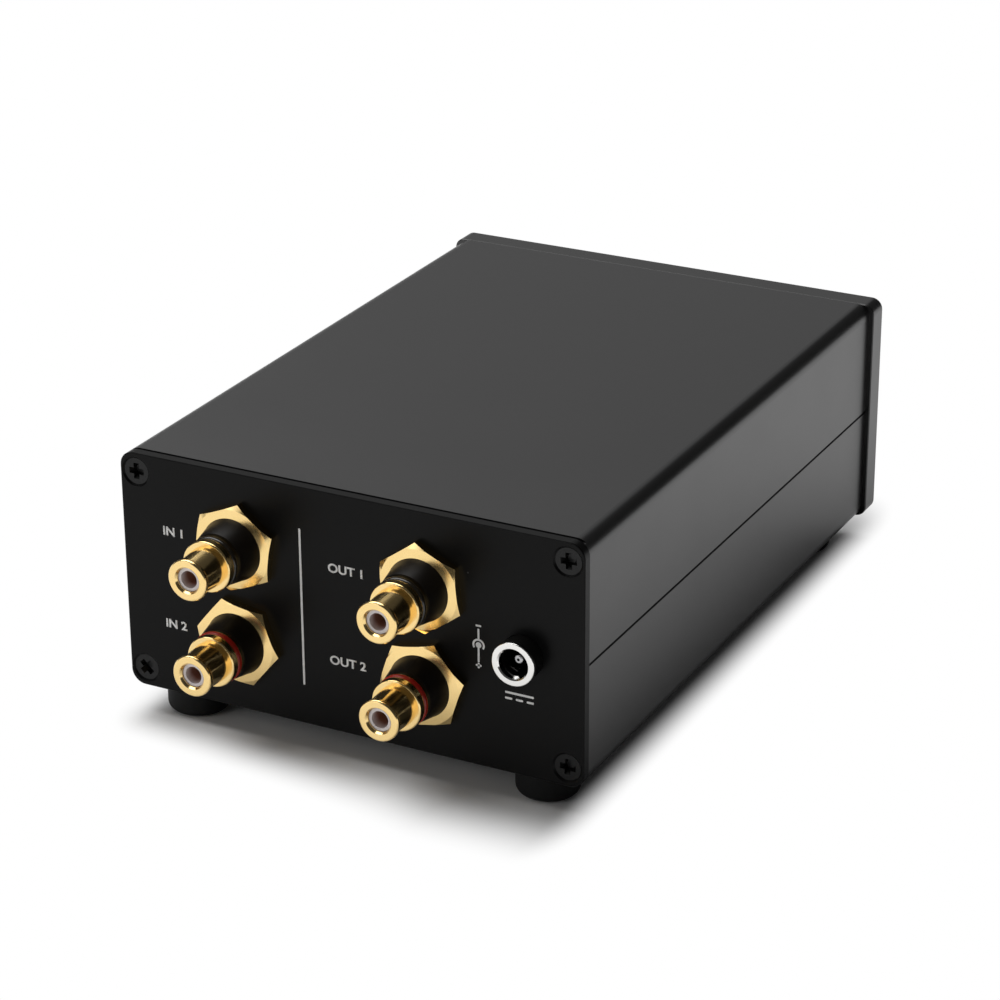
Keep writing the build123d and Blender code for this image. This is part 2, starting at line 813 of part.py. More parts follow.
with BuildPart() as knob_set_screw:
    screw_seat = control_z - shaft_radius
    with BuildSketch(Plane(origin=(0, set_screw_y, screw_seat), x_dir=(1, 0, 0), z_dir=(0, 0, -1))):
        Circle(set_screw_radius)
    extrude(amount=set_screw_length)
    with BuildSketch(
        Plane(origin=(0, set_screw_y, screw_seat - set_screw_length), x_dir=(1, 0, 0), z_dir=(0, 0, 1))
    ):
        RegularPolygon(set_screw_radius / 2, 6, major_radius=False)
    extrude(amount=hex_key_depth, mode=Mode.SUBTRACT)
save(knob_set_screw.part, "knob_set_screw")

with BuildPart() as pot_shaft:
    with BuildSketch(across_plane(front_face_y + shaft_front)):
        with Locations((0, control_z)):
            Circle(shaft_radius)
    extrude(amount=-(pot_plate_back + shaft_reach - shaft_front))
save(pot_shaft.part, "pot_shaft")

with BuildPart() as pot_bush:
    with BuildSketch(across_plane(case_front_y)):
        with Locations((0, control_z)):
            RectangleRounded(pot_plate_size, pot_plate_size, pot_body_round)
    extrude(amount=-pot_plate_thickness)
    with BuildSketch(across_plane(case_front_y)):
        with Locations((0, control_z)):
            Circle(pot_bush_radius)
    extrude(amount=pot_bush_length)
    with BuildSketch(across_plane(front_face_y + pot_bush_front)):
        with Locations((0, control_z)):
            Circle(shaft_bore)
    extrude(amount=-(pot_plate_back - pot_bush_front), mode=Mode.SUBTRACT)
save(pot_bush.part, "pot_bush")

with BuildPart() as pot_nut:
    with BuildSketch(front_plane):
        with Locations((0, control_z)):
            RegularPolygon(pot_nut_across_flats / 2, 6, major_radius=False)
            Circle(pot_bush_radius + fit_clearance, mode=Mode.SUBTRACT)
    extrude(amount=pot_nut_thickness)
save(pot_nut.part, "pot_nut")

with BuildPart() as pot_body:
    with BuildSketch(across_plane(front_face_y + pot_plate_back)):
        with Locations((0, control_z)):
            RectangleRounded(pot_body_size, pot_body_size, pot_body_round)
    extrude(amount=-pot_body_depth)
    with BuildSketch(across_plane(front_face_y + pot_plate_back)):
        with Locations((0, control_z)):
            Circle(shaft_bore)
    extrude(amount=-(shaft_reach + slide_clearance), mode=Mode.SUBTRACT)
save(pot_body.part, "pot_body")

with BuildPart() as pot_terminals:
    with BuildSketch(Plane.XY.offset(board_top_z)):
        with Locations((0, front_face_y + pot_plate_back + pot_body_depth / 2)):
            with GridLocations(pot_pin_spacing, pot_pin_spacing, pot_pin_columns, pot_pin_rows):
                Rectangle(pot_pin_width, pot_pin_width)
    extrude(amount=pot_pin_length)
save(pot_terminals.part, "pot_terminals")

# Power button in its threaded barrel
switch_plane = control_plane(switch_x)
switch_axis = control_axis(switch_x)
switch_barrel_back = switch_barrel_depth
switch_back = switch_barrel_back + switch_body_depth
button_front = -switch_flange_thickness - button_stand
button_back = button_front + button_length

with BuildPart() as power_switch_body:
    with BuildSketch(switch_plane):
        with BuildLine():
            Polyline(
                (button_stem_radius + fit_clearance, switch_bore_depth),
                (switch_bore_radius, switch_bore_depth),
                (switch_bore_radius, -switch_flange_thickness),
                (switch_flange_radius, -switch_flange_thickness),
                (switch_flange_radius, 0),
                (switch_barrel_radius, 0),
                (switch_barrel_radius, switch_back),
                (0, switch_back),
                (0, switch_back - switch_floor),
                (button_stem_radius + fit_clearance, switch_back - switch_floor),
                close=True,
            )
        make_face()
    revolve(axis=switch_axis)
    chamfer(round_edges(power_switch_body, switch_flange_radius).sort_by(Axis.Y)[0], front_panel_edge_break)
save(power_switch_body.part, "power_switch_body")

with BuildPart() as power_button:
    with BuildSketch(switch_plane):
        with BuildLine():
            Polyline(
                (0, button_front + button_dish),
                (button_radius * button_dish_share, button_front + button_dish),
                (button_radius * button_dish_share, button_front),
                (button_radius, button_front),
                (button_radius, button_back),
                (button_stem_radius, button_back),
                (button_stem_radius, button_back + button_stem_length),
                (0, button_back + button_stem_length),
                close=True,
            )
        make_face()
    revolve(axis=switch_axis)
    fillet(round_edges(power_button, button_radius).sort_by(Axis.Y)[0], front_panel_edge_break)
save(power_button.part, "power_button")

with BuildPart() as switch_nut:
    with BuildSketch(across_plane(case_front_y)):
        with Locations((switch_x, control_z)):
            RegularPolygon(switch_nut_across_flats / 2, 6, major_radius=False)
            Circle(switch_barrel_radius + fit_clearance, mode=Mode.SUBTRACT)
    extrude(amount=-switch_nut_thickness)
save(switch_nut.part, "switch_nut")

switch_back_y = front_face_y + switch_back
switch_pin_xs = [switch_x - switch_pin_spacing, switch_x + switch_pin_spacing]
with BuildPart() as switch_terminals:
    with BuildSketch(across_plane(switch_back_y)):
        with Locations(*[(x, control_z) for x in switch_pin_xs]):
            Rectangle(switch_pin_thickness, switch_pin_width)
    extrude(amount=-switch_pin_length)
save(switch_terminals.part, "switch_terminals")

# Power light pushed in from behind the front panel
with BuildPart() as power_light:
    with BuildSketch(control_plane(light_x)):
        with BuildLine():
            dome = JernArc((light_radius - light_stand, -light_stand), (1, 0), light_stand, 90)
            Polyline(
                dome @ 1,
                (light_radius, front_panel_thickness),
                (light_collar_radius, front_panel_thickness),
                (light_collar_radius, front_panel_thickness + light_collar_length),
                (light_radius, front_panel_thickness + light_collar_length),
                (light_radius, front_panel_thickness + light_collar_length + light_tail),
                (0, front_panel_thickness + light_collar_length + light_tail),
                (0, -light_stand),
                dome @ 0,
            )
        make_face()
    revolve(axis=control_axis(light_x))
save(power_light.part, "power_light")

# Circuit board in the slots of the lower half
with BuildPart() as circuit_board:
    with BuildSketch(Plane.XY.offset(board_bottom_z)):
        with Locations((0, board_front_y)):
            Rectangle(board_width, board_length, align=(Align.CENTER, Align.MIN))
    extrude(amount=board_thickness)
save(circuit_board.part, "circuit_board")


def on_board(share):
    # A place on the board, as shares of its width from the middle and of its length from the front
    return (share[0] * board_width, board_front_y + share[1] * board_length)


board_plane = Plane.XY.offset(board_top_z)

with BuildPart() as filter_capacitors:
    with BuildSketch(board_plane):
        with Locations(*[on_board(share) for share in capacitor_shares]):
            Circle(capacitor_radius)
    extrude(amount=capacitor_height)
    fillet(filter_capacitors.edges().group_by(Axis.Z)[-1], capacitor_round)
    with BuildSketch(board_plane.offset(capacitor_groove_height)):
        with Locations(*[on_board(share) for share in capacitor_shares]):
            Circle(capacitor_radius + overrun)
            Circle(capacitor_radius - capacitor_groove_depth, mode=Mode.SUBTRACT)
    extrude(amount=capacitor_groove_width, mode=Mode.SUBTRACT)
save(filter_capacitors.part, "filter_capacitors")

with BuildPart(board_plane) as amplifier_chips:
    with Locations(*[(*on_board(share), chip_stand) for share in chip_shares]):
        Box(chip_length, chip_width, chip_height, align=(Align.CENTER, Align.CENTER, Align.MIN))
    with Locations(*[on_board(share) for share in chip_shares]):
        with GridLocations(chip_leg_spacing, chip_width, chip_leg_columns, 2):
            Box(
                chip_leg_width,
                chip_leg_width,
                chip_stand + chip_height / 2,
                align=(Align.CENTER, Align.CENTER, Align.MIN),
            )
    for share in chip_shares:
        chip_x, chip_y = on_board(share)
        with Locations((chip_x - chip_length / 2, chip_y, chip_stand + chip_height)):
            Cylinder(chip_notch_radius, chip_height / 2, mode=Mode.SUBTRACT)
save(amplifier_chips.part, "amplifier_chips")

with BuildPart(board_plane) as voltage_regulator:
    with Locations((*on_board(regulator_share), regulator_leg_height)):
        Box(
            regulator_width,
            regulator_depth,
            regulator_height,
            align=(Align.CENTER, Align.MAX, Align.MIN),
        )
        Box(
            regulator_width,
            regulator_tab_thickness,
            regulator_height + regulator_tab_height,
            align=(Align.CENTER, Align.MAX, Align.MIN),
        )
    with Locations(on_board(regulator_share)):
        with Locations((0, -regulator_depth / 2)):
            with GridLocations(regulator_leg_spacing, regulator_depth, 3, 1):
                Box(
                    regulator_leg_width,
                    regulator_leg_width,
                    regulator_leg_height + regulator_height / 2,
                    align=(Align.CENTER, Align.CENTER, Align.MIN),
                )
    hole_x, hole_y = on_board(regulator_share)
    hole_z = board_top_z + regulator_leg_height + regulator_height + regulator_tab_height / 2
    with BuildSketch(Plane(origin=(hole_x, hole_y, hole_z), x_dir=(1, 0, 0), z_dir=(0, -1, 0))):
        Circle(regulator_hole_radius)
    extrude(amount=regulator_tab_thickness, mode=Mode.SUBTRACT)
save(voltage_regulator.part, "voltage_regulator")

resistor_z = board_top_z + resistor_radius
resistor_pitch = resistor_pitch_share * board_width
resistor_start = -resistor_pitch * (resistor_count - 1) / 2
resistor_xs = [resistor_start + place * resistor_pitch for place in range(resistor_count)]
resistor_y = board_front_y + resistor_row_share * board_length
with BuildPart() as resistors:
    for resistor_x in resistor_xs:
        resistor_middle = (resistor_x, resistor_y, resistor_z)
        resistor_plane = Plane(origin=resistor_middle, x_dir=(1, 0, 0), z_dir=(0, 1, 0))
        with BuildSketch(resistor_plane):
            Circle(resistor_radius)
        extrude(amount=resistor_length / 2, both=True)
        with BuildSketch(resistor_plane):
            Circle(resistor_lead_radius)
        extrude(amount=resistor_lead_span / 2, both=True)
        for lead_y in (resistor_y - resistor_lead_span / 2, resistor_y + resistor_lead_span / 2):
            with BuildSketch(board_plane):
                with Locations((resistor_x, lead_y)):
                    Circle(resistor_lead_radius)
            extrude(amount=resistor_radius)
save(resistors.part, "resistors")

# Screw connectors along the board's rear edge, and one by the power button
connector_y = board_rear_y - connector_depth / 2
wire_entry_z = board_top_z + connector_height * wire_entry_share
switch_connector_y = switch_back_y + switch_pin_length + 2 * wire_lead_in
connector_places = [(-column, connector_y) for column in (input_column, output_column, inlet_column)]
connector_places.append((switch_x, switch_connector_y))
with BuildPart() as board_connectors:
    with BuildSketch(board_plane):
        with Locations(*connector_places):
            Rectangle(connector_width, connector_depth)
    extrude(amount=connector_height)
    chamfer(board_connectors.edges().group_by(Axis.Z)[-1].filter_by(Axis.X), connector_bevel)
    with BuildSketch(board_plane.offset(connector_height)):
        with Locations(*connector_places):
            with GridLocations(connector_pitch, connector_depth, 2, 1):
                Circle(connector_screw_radius)
    extrude(amount=-connector_screw_depth, mode=Mode.SUBTRACT)
save(board_connectors.part, "board_connectors")

# Hook-up wires from the jacks, the inlet and the power button to the connectors
jack_tail_y = rear_face_y + contact_tail_back
inlet_tail_y = rear_face_y + inlet_back - inlet_tail_length
wire_routes = []


def rear_wire(column, height, start_y, side):
    start_x = -column
    end_x = -column + side * connector_pitch / 2
    return [
        (start_x, start_y, height),
        (start_x, start_y - wire_lead_in, height),
        (end_x, board_rear_y + wire_lead_in, wire_entry_z),
        (end_x, board_rear_y, wire_entry_z),
    ]


for jack_name, (column, height) in jack_places.items():
    wire_routes.append(rear_wire(column, height, jack_tail_y, 1 if jack_name.startswith("left") else -1))
wire_routes.append(rear_wire(inlet_column, case_middle_z, inlet_tail_y, 1))
switch_wire_y = switch_back_y + switch_pin_length
connector_top_z = board_top_z + connector_height
for pin_x, side in zip(switch_pin_xs, (-1, 1)):
    wire_routes.append(
        [
            (pin_x, switch_wire_y, control_z),
            (pin_x, switch_wire_y + wire_lead_in, control_z),
            (switch_x + side * connector_pitch / 2, switch_connector_y, connector_top_z + wire_lead_in),
            (switch_x + side * connector_pitch / 2, switch_connector_y, connector_top_z),
        ]
    )
with BuildPart() as hookup_wires:
    for route_points in wire_routes:
        with BuildLine() as route:
            FilletPolyline(*route_points, radius=wire_bend)
        with BuildSketch(Plane(origin=route.wire() @ 0, z_dir=route.wire() % 0)):
            Circle(wire_radius)
        sweep(path=route.wire())
save(hookup_wires.part, "hookup_wires")
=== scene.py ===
import math
import bpy
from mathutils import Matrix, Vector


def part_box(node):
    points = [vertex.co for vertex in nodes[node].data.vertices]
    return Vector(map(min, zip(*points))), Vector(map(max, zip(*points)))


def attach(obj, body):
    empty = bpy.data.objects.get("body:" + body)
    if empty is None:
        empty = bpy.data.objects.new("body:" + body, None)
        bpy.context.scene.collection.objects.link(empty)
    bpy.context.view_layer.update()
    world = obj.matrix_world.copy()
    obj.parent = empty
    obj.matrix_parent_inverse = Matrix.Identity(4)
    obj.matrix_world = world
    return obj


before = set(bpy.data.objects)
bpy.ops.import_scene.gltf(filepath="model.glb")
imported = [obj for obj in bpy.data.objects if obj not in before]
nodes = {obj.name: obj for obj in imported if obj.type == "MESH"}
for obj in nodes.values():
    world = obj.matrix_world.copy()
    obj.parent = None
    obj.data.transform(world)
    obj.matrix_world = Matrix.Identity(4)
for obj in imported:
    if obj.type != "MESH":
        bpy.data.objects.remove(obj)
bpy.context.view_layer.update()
scene = bpy.context.scene
scene.view_settings.view_transform = "Standard"
jackNames = ["left_input", "right_input", "left_output", "right_output"]
print("frame loaded:", len(nodes), "nodes")


# camera at the photograph's angle
cameraSettings = {
    "place": (-0.27734, 0.54379, 0.29387),
    "turn": (66.389, 0.289, -152.713),  # degrees
    "lens": 115.03,
    "sensor": 36.0,
    "clip": (0.01, 100.0),
}


def addCamera(settings):
    bpy.ops.object.camera_add(location=settings["place"])
    camera = bpy.context.object
    camera.name = "photoCamera"
    camera.rotation_euler = [math.radians(angle) for angle in settings["turn"]]
    camera.data.lens = settings["lens"]
    camera.data.sensor_width = settings["sensor"]
    camera.data.clip_start, camera.data.clip_end = settings["clip"]
    scene.camera = camera


addCamera(cameraSettings)
print("camera placed")


# small helpers for shader trees
def newMaterial(name):
    material = bpy.data.materials.new(name)
    material.use_nodes = True
    tree = material.node_tree
    tree.nodes.clear()
    output = tree.nodes.new("ShaderNodeOutputMaterial")
    shader = tree.nodes.new("ShaderNodeBsdfPrincipled")
    tree.links.new(shader.outputs["BSDF"], output.inputs["Surface"])
    return material, tree, shader


def addNode(tree, kind, **values):
    node = tree.nodes.new(kind)
    for key, value in values.items():
        setattr(node, key, value)
    return node


def join(tree, source, target):
    tree.links.new(source, target)


def mathNode(tree, operation, first, second=None):
    node = addNode(tree, "ShaderNodeMath", operation=operation)
    for socket, value in zip(node.inputs, (first, second)):
        if isinstance(value, bpy.types.NodeSocket):
            join(tree, value, socket)
        elif value is not None:
            socket.default_value = value
    return node.outputs["Value"]


def objectPlace(tree, scale=(1, 1, 1), shift=(0, 0, 0)):
    coordinates = addNode(tree, "ShaderNodeTexCoord")
    mapping = addNode(tree, "ShaderNodeMapping")
    mapping.inputs["Scale"].default_value = scale
    mapping.inputs["Location"].default_value = shift
    join(tree, coordinates.outputs["Object"], mapping.inputs["Vector"])
    return mapping.outputs["Vector"]


def placeAxes(tree, place):
    axes = addNode(tree, "ShaderNodeSeparateXYZ")
    join(tree, place, axes.inputs["Vector"])
    return axes.outputs


def mixColours(tree, factor, first, second):
    mix = addNode(tree, "ShaderNodeMix", data_type="RGBA")
    join(tree, factor, mix.inputs["Factor"])
    for socket, value in ((mix.inputs["A"], first), (mix.inputs["B"], second)):
        if isinstance(value, bpy.types.NodeSocket):
            join(tree, value, socket)
        else:
            socket.default_value = (*value, 1.0)
    return mix.outputs["Result"]


def newGroup(name, inputs, outputs):
    group = bpy.data.node_groups.new(name, "ShaderNodeTree")
    for label, kind, value in inputs:
        socket = group.interface.new_socket(name=label, in_out="INPUT", socket_type=kind)
        if value is not None:
            socket.default_value = value
    for label, kind in outputs:
        group.interface.new_socket(name=label, in_out="OUTPUT", socket_type=kind)
    start = group.nodes.new("NodeGroupInput")
    end = group.nodes.new("NodeGroupOutput")
    return group, start, end


def placeGroup(tree, group, vector, **values):
    node = addNode(tree, "ShaderNodeGroup", node_tree=group)
    join(tree, vector, node.inputs["Vector"])
    for label, value in values.items():
        node.inputs[label].default_value = value
    return node


groupSettings = {
    "mottle": {"detail": 5.0, "roughness": 0.6},
    "specks": {"share": 0.16},  # share of the cells that hold a speck
    "grain": {"coarseDetail": 3.0, "fineDetail": 2.0, "finer": 3.1},
}


# fine tooth and soft cloudiness of a blasted and dyed metal skin
def makeMottle(settings):
    group, start, end = newGroup(
        "mottle",
        [
            ("Vector", "NodeSocketVector", None),
            ("Scale", "NodeSocketFloat", None),
            ("Spread", "NodeSocketFloat", None),
        ],
        [("Factor", "NodeSocketFloat"), ("Tone", "NodeSocketFloat")],
    )
    noise = addNode(group, "ShaderNodeTexNoise")
    noise.inputs["Detail"].default_value = settings["detail"]
    noise.inputs["Roughness"].default_value = settings["roughness"]
    join(group, start.outputs["Vector"], noise.inputs["Vector"])
    join(group, start.outputs["Scale"], noise.inputs["Scale"])
    centred = mathNode(group, "SUBTRACT", noise.outputs["Fac"], 0.5)
    tone = mathNode(group, "MULTIPLY", centred, start.outputs["Spread"])
    join(group, noise.outputs["Fac"], end.inputs["Factor"])
    join(group, tone, end.inputs["Tone"])
    return group


# sparse pale specks that settle on dark faces
def makeSpecks(settings):
    group, start, end = newGroup(
        "dustSpecks",
        [
            ("Vector", "NodeSocketVector", None),
            ("Scale", "NodeSocketFloat", None),
            ("Size", "NodeSocketFloat", None),
        ],
        [("Mask", "NodeSocketFloat")],
    )
    cells = addNode(group, "ShaderNodeTexVoronoi")
    join(group, start.outputs["Vector"], cells.inputs["Vector"])
    join(group, start.outputs["Scale"], cells.inputs["Scale"])
    near = mathNode(group, "LESS_THAN", cells.outputs["Distance"], start.outputs["Size"])
    parts = addNode(group, "ShaderNodeSeparateColor")
    join(group, cells.outputs["Color"], parts.inputs["Color"])
    few = mathNode(group, "LESS_THAN", parts.outputs["Red"], settings["share"])
    both = mathNode(group, "MULTIPLY", near, few)
    join(group, both, end.inputs["Mask"])
    return group


# long fine scratches that follow a brushing or turning direction
def makeGrain(settings):
    group, start, end = newGroup(
        "grain",
        [("Vector", "NodeSocketVector", None), ("Scale", "NodeSocketFloat", 1.0)],
        [("Height", "NodeSocketFloat")],
    )
    coarse = addNode(group, "ShaderNodeTexNoise")
    coarse.inputs["Detail"].default_value = settings["coarseDetail"]
    fine = addNode(group, "ShaderNodeTexNoise")
    fine.inputs["Detail"].default_value = settings["fineDetail"]
    join(group, start.outputs["Vector"], coarse.inputs["Vector"])
    join(group, start.outputs["Vector"], fine.inputs["Vector"])
    join(group, start.outputs["Scale"], coarse.inputs["Scale"])
    finer = mathNode(group, "MULTIPLY", start.outputs["Scale"], settings["finer"])
    join(group, finer, fine.inputs["Scale"])
    total = mathNode(group, "ADD", coarse.outputs["Fac"], fine.outputs["Fac"])
    half = mathNode(group, "MULTIPLY", total, 0.5)
    join(group, half, end.inputs["Height"])
    return group


mottle = makeMottle(groupSettings["mottle"])
dustSpecks = makeSpecks(groupSettings["specks"])
grain = makeGrain(groupSettings["grain"])


def addBump(tree, shader, height, strength, distance):
    bump = addNode(tree, "ShaderNodeBump")
    bump.inputs["Strength"].default_value = strength
    bump.inputs["Distance"].default_value = distance
    join(tree, height, bump.inputs["Height"])
    join(tree, bump.outputs["Normal"], shader.inputs["Normal"])


def roughFromMottle(tree, shader, tone, roughness):
    value = mathNode(tree, "ADD", tone, roughness)
    join(tree, value, shader.inputs["Roughness"])


# black anodised aluminium, with its grain along one axis; the rear panel is duller than the case
anodisedSettings = {
    "case": {"colour": (0.0080, 0.0080, 0.0083), "paler": (0.0105, 0.0104, 0.0102), "ior": 1.62, "along": 1},
    "panel": {"colour": (0.0040, 0.0040, 0.0041), "paler": (0.0058, 0.0057, 0.0056), "ior": 1.2, "along": 0},
    "clouds": {"Scale": 38.0, "Spread": 0.08},
    "tooth": {"Scale": 4200.0, "Spread": 0.06},
    "specks": {"Scale": 110.0, "Size": 0.022},
    "dust": (0.06, 0.06, 0.06),
    "roughness": 0.32,
    "grainWidth": 2600.0,  # per metre across the grain
    "grainLength": 70.0,
    "bump": 0.10,
    "bumpDepth": 0.00002,
}


def anodisedMaterial(name, settings):
    skin = settings[name]
    material, tree, shader = newMaterial(name + "Anodise")
    shader.inputs["IOR"].default_value = skin["ior"]
    place = objectPlace(tree)
    stretch = [settings["grainWidth"]] * 3
    stretch[skin["along"]] = settings["grainLength"]
    lines = placeGroup(tree, grain, objectPlace(tree, stretch))
    clouds = placeGroup(tree, mottle, place, **settings["clouds"])
    tooth = placeGroup(tree, mottle, place, **settings["tooth"])
    specks = placeGroup(tree, dustSpecks, place, **settings["specks"])
    base = mixColours(tree, clouds.outputs["Factor"], skin["colour"], skin["paler"])
    dusty = mixColours(tree, specks.outputs["Mask"], base, settings["dust"])
    join(tree, dusty, shader.inputs["Base Color"])
    tone = mathNode(tree, "ADD", clouds.outputs["Tone"], tooth.outputs["Tone"])
    roughFromMottle(tree, shader, tone, settings["roughness"])
    height = mathNode(tree, "ADD", lines.outputs["Height"], tooth.outputs["Factor"])
    addBump(tree, shader, height, settings["bump"], settings["bumpDepth"])
    return material


# turned black anodised knob, rings round its own axis
knobSettings = {
    "colour": (0.0085, 0.0085, 0.009),
    "paler": (0.012, 0.012, 0.012),
    "roughness": 0.30,
    "ringScale": 900.0,
    "ringDistortion": 0.6,
    "clouds": {"Scale": 300.0, "Spread": 0.08},
    "bump": 0.15,
    "bumpDepth": 0.00002,
}


def knobMaterial(settings):
    low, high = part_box("volume_knob")
    centre = (low + high) / 2
    material, tree, shader = newMaterial("turnedBlackAnodise")
    place = objectPlace(tree, shift=(-centre.x, 0, -centre.z))
    rings = addNode(tree, "ShaderNodeTexWave", wave_type="RINGS", rings_direction="Y")
    rings.inputs["Scale"].default_value = settings["ringScale"]
    rings.inputs["Distortion"].default_value = settings["ringDistortion"]
    join(tree, place, rings.inputs["Vector"])
    clouds = placeGroup(tree, mottle, place, **settings["clouds"])
    base = mixColours(tree, clouds.outputs["Factor"], settings["colour"], settings["paler"])
    join(tree, base, shader.inputs["Base Color"])
    roughFromMottle(tree, shader, clouds.outputs["Tone"], settings["roughness"])
    addBump(tree, shader, rings.outputs["Fac"], settings["bump"], settings["bumpDepth"])
    return material


# polished plate over turned brass, or bright nickel
plateSettings = {
    "gold": {"colour": (0.98, 0.73, 0.34), "deeper": (0.95, 0.68, 0.28), "roughness": 0.17},
    "nickel": {"colour": (0.90, 0.89, 0.87), "deeper": (0.83, 0.82, 0.80), "roughness": 0.12},
    "steel": {"colour": (0.56, 0.56, 0.57), "deeper": (0.45, 0.45, 0.46), "roughness": 0.30},
    "clouds": {"Scale": 700.0, "Spread": 0.05},
    "turning": (60.0, 5200.0, 60.0),  # fine lines round the jacks' axes
    "bump": 0.06,
    "bumpDepth": 0.00002,
}


def plateMaterial(name, plate, settings):
    metal = settings[plate]
    material, tree, shader = newMaterial(name)
    shader.inputs["Metallic"].default_value = 1.0
    place = objectPlace(tree)
    clouds = placeGroup(tree, mottle, place, **settings["clouds"])
    turning = placeGroup(tree, grain, objectPlace(tree, settings["turning"]))
    base = mixColours(tree, clouds.outputs["Factor"], metal["colour"], metal["deeper"])
    join(tree, base, shader.inputs["Base Color"])
    roughFromMottle(tree, shader, clouds.outputs["Tone"], metal["roughness"])
    addBump(tree, shader, turning.outputs["Height"], settings["bump"], settings["bumpDepth"])
    return material


# moulded plastics, rubber and paint: colour, paler colour, roughness, bump, gloss level
mouldedSettings = {
    "bushBlack": ((0.0076, 0.0060, 0.0052), (0.0088, 0.0070, 0.0052), 0.38, 0.06, 0.16),
    "inletBlack": ((0.0060, 0.0058, 0.0055), (0.0090, 0.0086, 0.0080), 0.38, 0.06, 0.20),
    "ringBlack": ((0.0120, 0.0090, 0.0060), (0.0180, 0.0140, 0.0100), 0.18, 0.05, 0.65),
    "ringRed": ((0.3600, 0.0130, 0.0070), (0.4400, 0.0190, 0.0100), 0.20, 0.05, 0.45),
    "mattBlackPlastic": ((0.0200, 0.0200, 0.0210), (0.0300, 0.0300, 0.0300), 0.55, 0.12, 0.40),
    "footRubber": ((0.0045, 0.0045, 0.0045), (0.0080, 0.0080, 0.0080), 0.62, 0.22, 0.20),
    "screwBlack": ((0.0075, 0.0075, 0.0075), (0.0120, 0.0120, 0.0120), 0.32, 0.12, 0.24),
    "connectorGreen": ((0.0500, 0.2400, 0.1000), (0.0700, 0.3000, 0.1300), 0.45, 0.10, 0.45),
    "wireRed": ((0.3000, 0.0300, 0.0300), (0.3800, 0.0500, 0.0400), 0.50, 0.10, 0.40),
    "printWhite": ((0.8800, 0.8800, 0.8700), (0.9400, 0.9400, 0.9300), 0.55, 0.10, 0.30),
}
mouldedSkin = {
    "clouds": {"Scale": 420.0, "Spread": 0.10},
    "tooth": {"Scale": 5200.0, "Spread": 0.04},
    "bumpDepth": 0.00003,
}


def mouldedMaterial(name, settings):
    colour, paler, roughness, bump, gloss = settings
    material, tree, shader = newMaterial(name)
    shader.inputs["Specular IOR Level"].default_value = gloss
    place = objectPlace(tree)
    clouds = placeGroup(tree, mottle, place, **mouldedSkin["clouds"])
    tooth = placeGroup(tree, mottle, place, **mouldedSkin["tooth"])
    base = mixColours(tree, clouds.outputs["Factor"], colour, paler)
    join(tree, base, shader.inputs["Base Color"])
    roughFromMottle(tree, shader, clouds.outputs["Tone"], roughness)
    addBump(tree, shader, tooth.outputs["Factor"], bump, mouldedSkin["bumpDepth"])
    return material


# white jack insulators, with painted shade and a painted reflection of the gold contact making them browner
# down the pin bore
insulatorSettings = {
    "face": (0.90, 0.84, 0.88),
    "paler": (0.95, 0.91, 0.94),
    # painted shade and painted gold reflection, for deep in the pin bore
    "paintedHoleShade": (0.44, 0.22, 0.16),
    "paintedShadeDepths": (0.0002, 0.0022),  # depth where the painted shade starts, and where it is full
    "clouds": {"Scale": 420.0, "Spread": 0.08},
    "roughness": 0.34,
    "bump": 0.05,
    "bumpDepth": 0.00003,
}


def insulatorMaterial(settings):
    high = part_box("left_input_insulator")[1]
    material, tree, shader = newMaterial("insulatorWhite")
    place = objectPlace(tree)
    depth = mathNode(tree, "SUBTRACT", high.y, placeAxes(tree, place)["Y"])
    # painted shade and reflection: browner with depth down the pin bore
    paintedHoleShading = addNode(tree, "ShaderNodeMapRange")
    paintedHoleShading.inputs["From Min"].default_value, paintedHoleShading.inputs["From Max"].default_value = settings["paintedShadeDepths"]
    join(tree, depth, paintedHoleShading.inputs["Value"])
    clouds = placeGroup(tree, mottle, place, **settings["clouds"])
    face = mixColours(tree, clouds.outputs["Factor"], settings["face"], settings["paler"])
    base = mixColours(tree, paintedHoleShading.outputs["Result"], face, settings["paintedHoleShade"])
    join(tree, base, shader.inputs["Base Color"])
    roughFromMottle(tree, shader, clouds.outputs["Tone"], settings["roughness"])
    addBump(tree, shader, clouds.outputs["Factor"], settings["bump"], settings["bumpDepth"])
    return material


# circuit board: solder mask with traces under it
boardSettings = {
    "mask": (0.012, 0.075, 0.035),
    "trace": (0.022, 0.130, 0.055),
    "traceScale": 190.0,
    "traceWidth": 0.09,
    "clouds": {"Scale": 260.0, "Spread": 0.08},
    "roughness": 0.35,
    "bump": 0.2,
    "bumpDepth": 0.00004,
}


def boardMaterial(settings):
    material, tree, shader = newMaterial("solderMask")
    place = objectPlace(tree)
    cells = addNode(tree, "ShaderNodeTexVoronoi", feature="DISTANCE_TO_EDGE")
    cells.inputs["Scale"].default_value = settings["traceScale"]
    join(tree, place, cells.inputs["Vector"])
    lines = mathNode(tree, "LESS_THAN", cells.outputs["Distance"], settings["traceWidth"])
    clouds = placeGroup(tree, mottle, place, **settings["clouds"])
    base = mixColours(tree, lines, settings["mask"], settings["trace"])
    join(tree, base, shader.inputs["Base Color"])
    roughFromMottle(tree, shader, clouds.outputs["Tone"], settings["roughness"])
    addBump(tree, shader, lines, settings["bump"], settings["bumpDepth"])
    return material


# banded resistors lie along Y, so the bands follow Y
resistorSettings = {
    "body": (0.16, 0.34, 0.48),
    "band": (0.16, 0.03, 0.01),
    "bandWidth": 0.0007,
    "bandPitch": 0.0016,
    "clouds": {"Scale": 500.0, "Spread": 0.10},
    "roughness": 0.4,
    "bump": 0.1,
    "bumpDepth": 0.00004,
}


